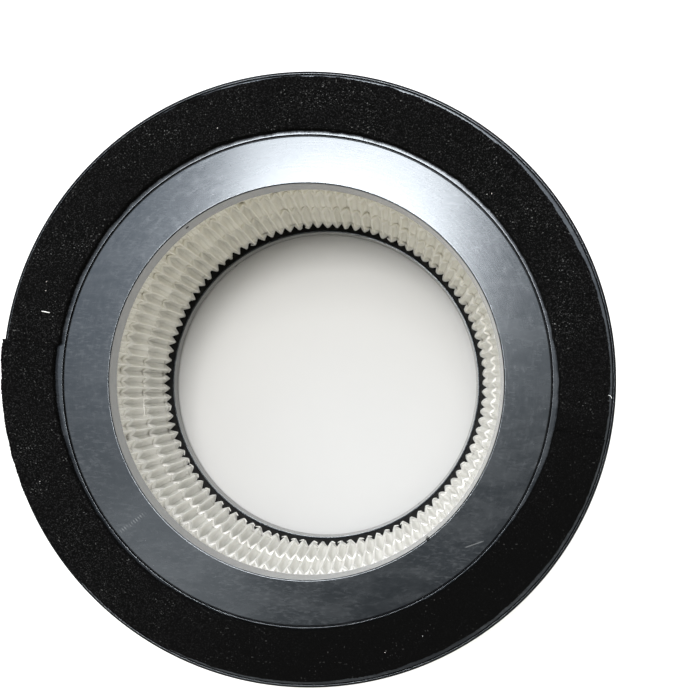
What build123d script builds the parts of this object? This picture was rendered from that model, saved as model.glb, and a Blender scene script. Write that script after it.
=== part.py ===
from build123d import *
import math
import os

# Cylindrical air-purifier filter: pleated media between two moulded end caps,
# a sponge gasket on the upper one. Millimetres, +Z up, origin on the floor
# under the middle of the lower cap.

# ---------------------------------------------------------------- dimensions
R_OUTER = 90.0            # outside of the end caps
PLANE_H = 97.0            # floor to the flat face of the upper cap
R_BORE = 57.7             # clear bore through both collars
PLATE_T = 1.6             # end-cap flange thickness
COLLAR_H = 8.0            # collar depth from the cap's flat face
COLLAR_WALL = 1.0
SKIRT_H = 10.0            # outer skirt depth from the cap's flat face
SKIRT_WALL = 1.2
LIP_CHAMFER = (0.1, 0.15)    # width and depth of the eased edge at the upper bore
FOOT_CHAMFER = (0.9, 1.3)    # the same at the foot of the lower bore
GROOVE_D = 0.9            # fine grooves in the flange face
LIP_GROOVE = (57.88, 58.12)
RIDGE_GROOVE = (71.4, 72.0)
RIM_GROOVE = (88.8, 89.25)
RIM_FILLET = 0.5
GATE_DEG = (127.2, 308.4) # two small sunk marks in the collar wall
GATE_D = 2.7              # their depth below the flat face
GATE_R = 0.5
GATE_SINK = 0.5

PLEATS = 106              # folds round the ring
FOLD_DEG0 = 0.86          # angle of the first inner fold
R_TIP_IN = 59.7           # inner fold, bore side
R_TIP_OUT = 84.6          # outer fold
MEDIA_T = 0.4             # thickness of the folded sheet
TIP_HALF_IN = 0.48        # half width of an inner fold
TIP_HALF_OUT = 0.52       # half width of an outer fold
KNEE_R = 62.4             # the flanks of neighbouring folds have closed up here
KNEE_GAP = 0.24           # half of what stays open between them
MEDIA_Z0 = 4.5            # lower edge of the sheet, sunk in the compound

BEAD_H = 4.0              # height of a glue row
BEAD_Z = (11.0, 40.5, 68.7)   # mid-heights of the three glue rows
BEAD_SKIN = 0.35          # glue over the fold itself
BEAD_DEPTH_OUT = 78.0     # glue reaches in to this radius between the outer folds

POT_LEVEL = 7.4           # compound level from the cap's flat face

CARBON_R0 = 84.7
CARBON_T = 2.0
CARBON_GAP_DEG = 0.7      # butt joint of the cloth
MESH_R0 = 86.8
MESH_T = 0.6
MESH_LAP_DEG = 10.0       # overlapping end of the net
WRAP_SEAM_DEG = 262.0     # where both wraps close

GASKET_T = 3.0
UPPER_CENTRE = (-0.25, -0.15)
UPPER_R = (73.1, 88.0)
LOWER_CENTRE = (0.0, 1.8)
LOWER_R = (74.0, 89.3)
SEAM_GAP = 0.24           # between the cut ends of the two arcs
SEAM_LINE = [(-120.0, 17.2), (-40.0, 6.8), (40.0, -7.5), (120.0, -22.5)]

PITCH = 360.0 / PLEATS
R_COLLAR_OUT = R_BORE + COLLAR_WALL
R_SKIRT_IN = R_OUTER - SKIRT_WALL
MEDIA_Z1 = PLANE_H - MEDIA_Z0

os.makedirs("parts", exist_ok=True)


def polar(r, deg):
    a = math.radians(deg)
    return (r * math.cos(a), r * math.sin(a))


def off(mm, r):
    return math.degrees(mm / r)


# ------------------------------------------------------------ fold outlines
# bore-facing side of the folded sheet
inner_side = []
# outward-facing side of the folded sheet
outer_side = []
for k in range(PLEATS):
    tip = FOLD_DEG0 + k * PITCH
    crest = FOLD_DEG0 + (k + 0.5) * PITCH
    r_a, r_b = R_TIP_IN, R_TIP_OUT - MEDIA_T
    inner_side.append(polar(r_a, tip - off(TIP_HALF_IN, r_a)))
    inner_side.append(polar(r_a, tip + off(TIP_HALF_IN, r_a)))
    inner_side.append(polar(KNEE_R, crest - off(KNEE_GAP, KNEE_R)))
    inner_side.append(polar(r_b, crest - off(TIP_HALF_OUT - MEDIA_T, r_b)))
    inner_side.append(polar(r_b, crest + off(TIP_HALF_OUT - MEDIA_T, r_b)))
    inner_side.append(polar(KNEE_R, crest + off(KNEE_GAP, KNEE_R)))
    r_c, r_d = R_TIP_IN + MEDIA_T, R_TIP_OUT
    outer_side.append(polar(r_c, tip - off(TIP_HALF_IN - MEDIA_T, r_c)))
    outer_side.append(polar(r_c, tip + off(TIP_HALF_IN - MEDIA_T, r_c)))
    r_k = KNEE_R + 0.22 * MEDIA_T
    outer_side.append(polar(r_k, crest - off(KNEE_GAP + MEDIA_T, r_k)))
    outer_side.append(polar(r_d, crest - off(TIP_HALF_OUT, r_d)))
    outer_side.append(polar(r_d, crest + off(TIP_HALF_OUT, r_d)))
    outer_side.append(polar(r_k, crest + off(KNEE_GAP + MEDIA_T, r_k)))


def on_line(p, q, r):
    """Point at radius r on the straight flank from p to q."""
    lo, hi = 0.0, 1.0
    up = math.hypot(*q) > math.hypot(*p)
    for _ in range(60):
        mid = (lo + hi) / 2
        rr = math.hypot(p[0] + (q[0] - p[0]) * mid, p[1] + (q[1] - p[1]) * mid)
        if (rr < r) == up:
            lo = mid
        else:
            hi = mid
    return (p[0] + (q[0] - p[0]) * lo, p[1] + (q[1] - p[1]) * lo)


# glue between the inner folds: fills the open notch from fold to fold
bead_in_line = []
# glue between the outer folds: follows the sheet's outward side in to a depth
bead_out_line = []
for k in range(PLEATS):
    a0, a1, k0, b0, b1, k1 = inner_side[6 * k:6 * k + 6]
    bead_in_line += [a0, a1, k0, k1]
    c0, c1, m0, d0, d1, m1 = outer_side[6 * k:6 * k + 6]
    bead_out_line += [on_line(m0, d0, BEAD_DEPTH_OUT), d0, d1, on_line(d1, m1, BEAD_DEPTH_OUT)]

# ---------------------------------------------------------- end-cap section
# (radius, depth below the flat face)
g0, g1 = LIP_GROOVE
h0, h1 = RIDGE_GROOVE
j0, j1 = RIM_GROOVE
cap_section = [
    (R_BORE, COLLAR_H),
    (R_BORE, LIP_CHAMFER[1]),
    (R_BORE + LIP_CHAMFER[0], 0.0),
    (g0, 0.0),
    (g0 + 0.1, GROOVE_D),
    (g1 - 0.1, GROOVE_D),
    (g1, 0.0),
    (h0, 0.0),
    (h0 + 0.15, GROOVE_D),
    (h1 - 0.15, GROOVE_D),
    (h1, 0.0),
    (j0, 0.0),
    (j0 + 0.1, GROOVE_D),
    (j1 - 0.1, GROOVE_D),
    (j1, 0.0),
    (R_OUTER, 0.0),
    (R_OUTER, SKIRT_H),
    (R_SKIRT_IN, SKIRT_H),
    (R_SKIRT_IN, PLATE_T),
    (R_COLLAR_OUT, PLATE_T),
    (R_COLLAR_OUT, POT_LEVEL),
    (R_COLLAR_OUT - 0.4, COLLAR_H),
]
# the lower cap stands on the floor with a wider eased edge in place of the fine groove
foot_section = [
    (R_BORE, COLLAR_H),
    (R_BORE, FOOT_CHAMFER[1]),
    (R_BORE + FOOT_CHAMFER[0], 0.0),
] + cap_section[7:]

with BuildPart() as bottom_end_cap:
    with BuildSketch(Plane.XZ) as bottom_cap_section:
        with BuildLine():
            Polyline(*[(r, d) for r, d in foot_section], close=True)
        make_face()
        fillet(
            bottom_cap_section.vertices().filter_by_position(Axis.X, R_OUTER - 0.01, R_OUTER + 0.01),
            RIM_FILLET,
        )
    revolve(axis=Axis.Z)
    for deg in GATE_DEG:
        x, y = polar(R_BORE - 1.0, deg)
        with BuildSketch(Plane(origin=(x, y, GATE_D), z_dir=(*polar(1.0, deg), 0.0))):
            Circle(GATE_R)
        extrude(amount=1.0 + GATE_SINK, mode=Mode.SUBTRACT)
bottom_end_cap.part.label = "bottom_end_cap"

with BuildPart() as top_end_cap:
    with BuildSketch(Plane.XZ) as top_cap_section:
        with BuildLine():
            Polyline(*[(r, PLANE_H - d) for r, d in cap_section], close=True)
        make_face()
        fillet(
            top_cap_section.vertices().filter_by_position(Axis.X, R_OUTER - 0.01, R_OUTER + 0.01),
            RIM_FILLET,
        )
    revolve(axis=Axis.Z)
    for deg in GATE_DEG:
        x, y = polar(R_BORE - 1.0, deg)
        with BuildSketch(Plane(origin=(x, y, PLANE_H - GATE_D), z_dir=(*polar(1.0, deg), 0.0))):
            Circle(GATE_R)
        extrude(amount=1.0 + GATE_SINK, mode=Mode.SUBTRACT)
top_end_cap.part.label = "top_end_cap"

# ------------------------------------------------------------ folded media
with BuildPart() as hepa_pleat_pack:
    with BuildSketch(Plane.XY.offset(MEDIA_Z0)):
        with BuildLine():
            Polyline(*outer_side, close=True)
        make_face()
        with BuildLine():
            Polyline(*inner_side, close=True)
        make_face(mode=Mode.SUBTRACT)
    extrude(amount=MEDIA_Z1 - MEDIA_Z0)
hepa_pleat_pack.part.label = "hepa_pleat_pack"

# --------------------------------------------------------- separator beads
with BuildPart() as inner_glue_bead_bottom:
    with BuildSketch(Plane.XY.offset(BEAD_Z[0] - BEAD_H / 2)):
        with BuildLine():
            Polyline(*bead_in_line, close=True)
        make_face()
        Circle(R_TIP_IN - BEAD_SKIN, mode=Mode.SUBTRACT)
    extrude(amount=BEAD_H)
inner_glue_bead_bottom.part.label = "inner_glue_bead_bottom"

with BuildPart() as inner_glue_bead_middle:
    with BuildSketch(Plane.XY.offset(BEAD_Z[1] - BEAD_H / 2)):
        with BuildLine():
            Polyline(*bead_in_line, close=True)
        make_face()
        Circle(R_TIP_IN - BEAD_SKIN, mode=Mode.SUBTRACT)
    extrude(amount=BEAD_H)
inner_glue_bead_middle.part.label = "inner_glue_bead_middle"

with BuildPart() as inner_glue_bead_top:
    with BuildSketch(Plane.XY.offset(BEAD_Z[2] - BEAD_H / 2)):
        with BuildLine():
            Polyline(*bead_in_line, close=True)
        make_face()
        Circle(R_TIP_IN - BEAD_SKIN, mode=Mode.SUBTRACT)
    extrude(amount=BEAD_H)
inner_glue_bead_top.part.label = "inner_glue_bead_top"

with BuildPart() as outer_glue_bead_bottom:
    with BuildSketch(Plane.XY.offset(BEAD_Z[0] - BEAD_H / 2)):
        Circle(CARBON_R0)
        with BuildLine():
            Polyline(*bead_out_line, close=True)
        make_face(mode=Mode.SUBTRACT)
    extrude(amount=BEAD_H)
outer_glue_bead_bottom.part.label = "outer_glue_bead_bottom"

with BuildPart() as outer_glue_bead_middle:
    with BuildSketch(Plane.XY.offset(BEAD_Z[1] - BEAD_H / 2)):
        Circle(CARBON_R0)
        with BuildLine():
            Polyline(*bead_out_line, close=True)
        make_face(mode=Mode.SUBTRACT)
    extrude(amount=BEAD_H)
outer_glue_bead_middle.part.label = "outer_glue_bead_middle"

with BuildPart() as outer_glue_bead_top:
    with BuildSketch(Plane.XY.offset(BEAD_Z[2] - BEAD_H / 2)):
        Circle(CARBON_R0)
        with BuildLine():
            Polyline(*bead_out_line, close=True)
        make_face(mode=Mode.SUBTRACT)
    extrude(amount=BEAD_H)
outer_glue_bead_top.part.label = "outer_glue_bead_top"

# ------------------------------------------------------- sealing compound
# a ring in the cap's channel, then a thinner layer round the sunk pleat ends
with BuildPart() as bottom_potting:
    with BuildSketch(Plane.XY.offset(PLATE_T)):
        Circle(R_SKIRT_IN)
        Circle(R_COLLAR_OUT, mode=Mode.SUBTRACT)
    extrude(amount=MEDIA_Z0 - PLATE_T)
    with BuildSketch(Plane.XY.offset(MEDIA_Z0)):
        Circle(CARBON_R0)
        with BuildLine():
            Polyline(*outer_side, close=True)
        make_face(mode=Mode.SUBTRACT)
        with BuildLine():
            Polyline(*inner_side, close=True)
        make_face()
        Circle(R_COLLAR_OUT, mode=Mode.SUBTRACT)
    extrude(amount=POT_LEVEL - MEDIA_Z0)
bottom_potting.part.label = "bottom_potting"

with BuildPart() as top_potting:
    with BuildSketch(Plane.XY.offset(MEDIA_Z1)):
        Circle(R_SKIRT_IN)
        Circle(R_COLLAR_OUT, mode=Mode.SUBTRACT)
    extrude(amount=MEDIA_Z0 - PLATE_T)
    with BuildSketch(Plane.XY.offset(PLANE_H - POT_LEVEL)):
        Circle(CARBON_R0)
        with BuildLine():
            Polyline(*outer_side, close=True)
        make_face(mode=Mode.SUBTRACT)
        with BuildLine():
            Polyline(*inner_side, close=True)
        make_face()
        Circle(R_COLLAR_OUT, mode=Mode.SUBTRACT)
    extrude(amount=POT_LEVEL - MEDIA_Z0)
top_potting.part.label = "top_potting"

# ------------------------------------------------------------------- wraps
carbon_r1 = CARBON_R0 + CARBON_T
with BuildPart() as carbon_cloth_wrap:
    with BuildSketch(Plane.XY.offset(MEDIA_Z0)):
        with BuildLine():
            s0 = WRAP_SEAM_DEG + 30.0
            s1 = s0 + 360.0 - CARBON_GAP_DEG
            sm = (s0 + s1) / 2
            ThreePointArc(polar(carbon_r1, s0), polar(carbon_r1, sm), polar(carbon_r1, s1))
            Line(polar(carbon_r1, s1), polar(CARBON_R0, s1))
            ThreePointArc(polar(CARBON_R0, s1), polar(CARBON_R0, sm), polar(CARBON_R0, s0))
            Line(polar(CARBON_R0, s0), polar(carbon_r1, s0))
        make_face()
    extrude(amount=MEDIA_Z1 - MEDIA_Z0)
carbon_cloth_wrap.part.label = "carbon_cloth_wrap"

mesh_r1 = MESH_R0 + MESH_T
mesh_r2 = mesh_r1 + MESH_T
with BuildPart() as prefilter_mesh_wrap:
    with BuildSketch(Plane.XY.offset(MEDIA_Z0)):
        Circle(mesh_r1)
        Circle(MESH_R0, mode=Mode.SUBTRACT)
        with BuildLine():
            m0 = WRAP_SEAM_DEG
            m1 = WRAP_SEAM_DEG + MESH_LAP_DEG
            mm = (m0 + m1) / 2
            ThreePointArc(polar(mesh_r2, m0), polar(mesh_r2, mm), polar(mesh_r2, m1))
            Line(polar(mesh_r2, m1), polar(mesh_r1 - 0.1, m1))
            ThreePointArc(polar(mesh_r1 - 0.1, m1), polar(mesh_r1 - 0.1, mm), polar(mesh_r1 - 0.1, m0))
            Line(polar(mesh_r1 - 0.1, m0), polar(mesh_r2, m0))
        make_face()
    extrude(amount=MEDIA_Z1 - MEDIA_Z0)
prefilter_mesh_wrap.part.label = "prefilter_mesh_wrap"

# ----------------------------------------------------------------- gaskets
# each arc is a ring about its own centre, cut along the two seams
upper_side = [(x, y + SEAM_GAP / 2) for x, y in SEAM_LINE] + [(120.0, 120.0), (-120.0, 120.0)]
lower_side = [(x, y - SEAM_GAP / 2) for x, y in SEAM_LINE] + [(120.0, -120.0), (-120.0, -120.0)]

with BuildPart() as foam_gasket_upper:
    with BuildSketch(Plane.XY.offset(PLANE_H)):
        with Locations(UPPER_CENTRE):
            Circle(UPPER_R[1])
            Circle(UPPER_R[0], mode=Mode.SUBTRACT)
        with BuildLine():
            Polyline(*upper_side, close=True)
        make_face(mode=Mode.INTERSECT)
    extrude(amount=GASKET_T)
foam_gasket_upper.part.label = "foam_gasket_upper"

with BuildPart() as foam_gasket_lower:
    with BuildSketch(Plane.XY.offset(PLANE_H)):
        with Locations(LOWER_CENTRE):
            Circle(LOWER_R[1])
            Circle(LOWER_R[0], mode=Mode.SUBTRACT)
        with BuildLine():
            Polyline(*lower_side, close=True)
        make_face(mode=Mode.INTERSECT)
    extrude(amount=GASKET_T)
foam_gasket_lower.part.label = "foam_gasket_lower"

# ------------------------------------------------------------------ export
export_step(top_end_cap.part, "parts/top_end_cap.step")
export_step(bottom_end_cap.part, "parts/bottom_end_cap.step")
export_step(hepa_pleat_pack.part, "parts/hepa_pleat_pack.step")
export_step(inner_glue_bead_bottom.part, "parts/inner_glue_bead_bottom.step")
export_step(inner_glue_bead_middle.part, "parts/inner_glue_bead_middle.step")
export_step(inner_glue_bead_top.part, "parts/inner_glue_bead_top.step")
export_step(outer_glue_bead_bottom.part, "parts/outer_glue_bead_bottom.step")
export_step(outer_glue_bead_middle.part, "parts/outer_glue_bead_middle.step")
export_step(outer_glue_bead_top.part, "parts/outer_glue_bead_top.step")
export_step(bottom_potting.part, "parts/bottom_potting.step")
export_step(top_potting.part, "parts/top_potting.step")
export_step(carbon_cloth_wrap.part, "parts/carbon_cloth_wrap.step")
export_step(prefilter_mesh_wrap.part, "parts/prefilter_mesh_wrap.step")
export_step(foam_gasket_upper.part, "parts/foam_gasket_upper.step")
export_step(foam_gasket_lower.part, "parts/foam_gasket_lower.step")
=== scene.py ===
import math

import bpy
import numpy as np
from mathutils import Matrix, Vector


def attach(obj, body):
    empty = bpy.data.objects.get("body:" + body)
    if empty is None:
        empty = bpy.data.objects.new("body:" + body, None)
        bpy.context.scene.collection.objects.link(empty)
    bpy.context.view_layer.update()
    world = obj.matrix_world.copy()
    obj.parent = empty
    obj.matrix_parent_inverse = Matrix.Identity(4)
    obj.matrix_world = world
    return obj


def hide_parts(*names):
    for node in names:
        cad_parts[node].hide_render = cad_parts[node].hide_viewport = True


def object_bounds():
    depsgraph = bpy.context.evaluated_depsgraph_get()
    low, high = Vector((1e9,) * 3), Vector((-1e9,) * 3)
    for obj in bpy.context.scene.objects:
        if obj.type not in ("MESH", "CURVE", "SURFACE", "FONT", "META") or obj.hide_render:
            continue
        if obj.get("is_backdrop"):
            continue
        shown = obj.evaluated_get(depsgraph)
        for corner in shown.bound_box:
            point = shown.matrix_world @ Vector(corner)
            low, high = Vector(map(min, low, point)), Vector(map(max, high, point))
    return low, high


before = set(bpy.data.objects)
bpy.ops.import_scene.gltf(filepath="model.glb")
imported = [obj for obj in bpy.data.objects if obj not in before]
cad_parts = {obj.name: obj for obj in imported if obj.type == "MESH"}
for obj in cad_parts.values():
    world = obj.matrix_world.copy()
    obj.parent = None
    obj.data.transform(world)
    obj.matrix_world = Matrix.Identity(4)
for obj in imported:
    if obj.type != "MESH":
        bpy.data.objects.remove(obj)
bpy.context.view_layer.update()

MM = 0.001
TAU = 2.0 * math.pi
rng = np.random.default_rng(20)

# ------------------------------------------------------------------ dimensions
PLANE_H = 97.0
PLEATS = 106
PITCH = TAU / PLEATS
FOLD0 = math.radians(0.86)
FOLD_R = 59.70           # bore side of an inner fold
MEDIA_T = 0.36
MEDIA_Z = (4.5, 92.5)
POT_LEVEL = 7.4


# -------------------------------------------------------------------- helpers
def obj_from(name, verts, faces, mat, stands_for=(), smooth=True, sharp=None):
    """A mesh object from millimetre points and lists of equal-sided faces (arrays of 3 or 4 columns, or single loops)."""
    v = np.asarray(verts, float).reshape(-1, 3) * MM
    loops, starts, at = [], [], 0
    for f in faces:
        f = np.asarray(f, np.int32)
        if f.ndim == 1:
            f = f[None, :]
        loops.append(f.ravel())
        starts.append(at + np.arange(len(f), dtype=np.int32) * f.shape[1])
        at += f.size
    loops, starts = np.concatenate(loops), np.concatenate(starts)
    me = bpy.data.meshes.new(name)
    me.vertices.add(len(v))
    me.vertices.foreach_set("co", v.astype(np.float32).ravel())
    me.loops.add(len(loops))
    me.loops.foreach_set("vertex_index", loops)
    me.polygons.add(len(starts))
    me.polygons.foreach_set("loop_start", starts)
    me.update(calc_edges=True)
    me.validate()
    me.polygons.foreach_set("use_smooth", np.full(len(me.polygons), smooth))
    if sharp:
        me.set_sharp_from_angle(angle=math.radians(sharp))
    me.materials.append(mat)
    o = bpy.data.objects.new(name, me)
    bpy.context.scene.collection.objects.link(o)
    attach(o, "root")
    if stands_for:
        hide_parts(*stands_for)
    return o


def grid_faces(rows, cols, close_rows=False, close_cols=False, base=0, flip=False):
    """Quads over a rows x cols grid of points, numbered row by row."""
    i = np.arange(rows if close_rows else rows - 1)
    j = np.arange(cols if close_cols else cols - 1)
    i, j = (a.ravel() for a in np.meshgrid(i, j, indexing="ij"))
    i1, j1 = (i + 1) % rows, (j + 1) % cols
    q = np.stack([i * cols + j, i1 * cols + j, i1 * cols + j1, i * cols + j1], 1) + base
    return q[:, ::-1] if flip else q


def rounded(points, radius, n=3):
    """A closed section with its corners rounded; radius is one number or one per corner."""
    p = np.asarray(points, float)
    m = len(p)
    rad = np.broadcast_to(radius, m)
    out = []
    for i in range(m):
        a, b, c = p[i - 1], p[i], p[(i + 1) % m]
        u, w = a - b, c - b
        lu, lw = np.linalg.norm(u), np.linalg.norm(w)
        d = min(rad[i], 0.45 * lu, 0.45 * lw)
        if d < 1e-4:
            out.append(b)
            continue
        s, e = b + u / lu * d, b + w / lw * d
        for k in range(n + 1):
            t = k / n
            out.append((1 - t) ** 2 * s + 2 * t * (1 - t) * b + t * t * e)
    return np.array(out)


def lathe(section, segs):
    """Points and quads of a closed (radius, z) section turned about Z, faces looking out."""
    p = np.asarray(section, float)
    x, y = p[:, 0], p[:, 1]
    if np.sum(x * np.roll(y, -1) - np.roll(x, -1) * y) < 0:
        p = p[::-1]
    a = np.arange(segs) * TAU / segs
    v = np.stack([
        np.outer(np.cos(a), p[:, 0]),
        np.outer(np.sin(a), p[:, 0]),
        np.broadcast_to(p[:, 1], (segs, len(p))),
    ], -1)
    return v.reshape(-1, 3), grid_faces(segs, len(p), True, True)


def tube(path, radius, sides=6, close=False):
    """Points and quads of a round tube along a path; radius is one number or one per point."""
    p = np.asarray(path, float)
    n = len(p)
    if close:
        t = np.roll(p, -1, 0) - np.roll(p, 1, 0)
    else:
        t = np.gradient(p, axis=0)
    t /= np.linalg.norm(t, axis=1)[:, None] + 1e-12
    ref = np.array([0.0, 0.0, 1.0])
    ref = np.where(np.abs(t @ ref)[:, None] > 0.9, np.array([1.0, 0.0, 0.0]), ref)
    a = np.cross(t, ref)
    a /= np.linalg.norm(a, axis=1)[:, None]
    b = np.cross(t, a)
    r = np.broadcast_to(radius, n)[:, None, None]
    ang = np.arange(sides) * TAU / sides
    v = p[:, None, :] + r * (np.cos(ang)[None, :, None] * a[:, None, :] + np.sin(ang)[None, :, None] * b[:, None, :])
    faces = [grid_faces(n, sides, close, True, flip=True)]
    if not close:
        faces += [np.arange(sides), (n - 1) * sides + np.arange(sides)[::-1]]
    return v.reshape(-1, 3), faces


def wander(n, harmonics, amount):
    """A smooth random closed curve sampled at n places round the ring."""
    a = np.arange(n) * TAU / n
    out = np.zeros(n)
    for h in harmonics:
        out += rng.normal(0, 1) * np.cos(h * a) + rng.normal(0, 1) * np.sin(h * a)
    return out * amount / math.sqrt(len(harmonics))


# ------------------------------------------------------------------ materials
def new_mat(name):
    m = bpy.data.materials.new(name)
    m.use_nodes = True
    nt = m.node_tree
    nt.nodes.clear()
    out = nt.nodes.new("ShaderNodeOutputMaterial")
    b = nt.nodes.new("ShaderNodeBsdfPrincipled")
    nt.links.new(b.outputs[0], out.inputs[0])
    return m, nt, b


def node(nt, kind, links=None, **props):
    n = nt.nodes.new(kind)
    for k, v in props.items():
        if k.startswith("in_"):
            key = k[3:]
            n.inputs[int(key) if key.isdigit() else key].default_value = v
        else:
            setattr(n, k, v)
    for k, src in (links or {}).items():
        nt.links.new(src, n.inputs[k])
    return n


def ramp(nt, src, stops):
    n = node(nt, "ShaderNodeValToRGB", {0: src})
    e = n.color_ramp.elements
    while len(e) < len(stops):
        e.new(0.5)
    for el, (pos, col) in zip(e, stops):
        el.position = pos
        el.color = (*col, 1.0) if len(col) == 3 else col
    return n.outputs[0]


def grey(v):
    return (v, v, v)


def ring_coords(nt):
    """(object point, radius, turn, height) sockets."""
    tc = node(nt, "ShaderNodeTexCoord")
    sep = node(nt, "ShaderNodeSeparateXYZ", {0: tc.outputs["Object"]})
    flat = node(nt, "ShaderNodeCombineXYZ", {0: sep.outputs[0], 1: sep.outputs[1]})
    r = node(nt, "ShaderNodeVectorMath", {0: flat.outputs[0]}, operation="LENGTH")
    th = node(nt, "ShaderNodeMath", {0: sep.outputs[1], 1: sep.outputs[0]}, operation="ARCTAN2")
    return tc.outputs["Object"], r.outputs["Value"], th.outputs[0], sep.outputs[2]


def scaled(nt, src, k):
    return node(nt, "ShaderNodeMath", {0: src}, operation="MULTIPLY", in_1=k).outputs[0]


def noise(nt, vec, scale, detail=2.0, rough=0.5, distort=0.0):
    return node(nt, "ShaderNodeTexNoise", {"Vector": vec}, in_Scale=scale, in_Detail=detail,
                in_Roughness=rough, in_Distortion=distort).outputs[0]


def span(nt, src, a, b, to_a=0.0, to_b=1.0):
    """Smooth step of a value from a..b to to_a..to_b."""
    return node(nt, "ShaderNodeMapRange", {0: src}, interpolation_type="SMOOTHSTEP",
                in_1=a, in_2=b, in_3=to_a, in_4=to_b).outputs[0]


def product(nt, a, b):
    return node(nt, "ShaderNodeMath", {0: a, 1: b}, operation="MULTIPLY").outputs[0]


def stroke(nt, p, start, end, width):
    """Mask of a short straight mark on the flat face between two points in millimetres."""
    a, e = np.array(start, float) * MM, np.array(end, float) * MM
    c, d = (a + e) / 2, e - a
    half = float(np.linalg.norm(d)) / 2
    d = d / (2 * half)
    rel = node(nt, "ShaderNodeVectorMath", {0: p}, operation="SUBTRACT", in_1=(c[0], c[1], 0.0)).outputs[0]
    u = node(nt, "ShaderNodeVectorMath", {0: rel}, operation="DOT_PRODUCT", in_1=(d[0], d[1], 0.0)).outputs["Value"]
    w = node(nt, "ShaderNodeVectorMath", {0: rel}, operation="DOT_PRODUCT", in_1=(-d[1], d[0], 0.0)).outputs["Value"]
    au = node(nt, "ShaderNodeMath", {0: u}, operation="ABSOLUTE").outputs[0]
    aw = node(nt, "ShaderNodeMath", {0: w}, operation="ABSOLUTE").outputs[0]
    return product(nt, span(nt, au, half * 0.7, half, 1.0, 0.0), span(nt, aw, width * MM * 0.25, width * MM, 1.0, 0.0))


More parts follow.
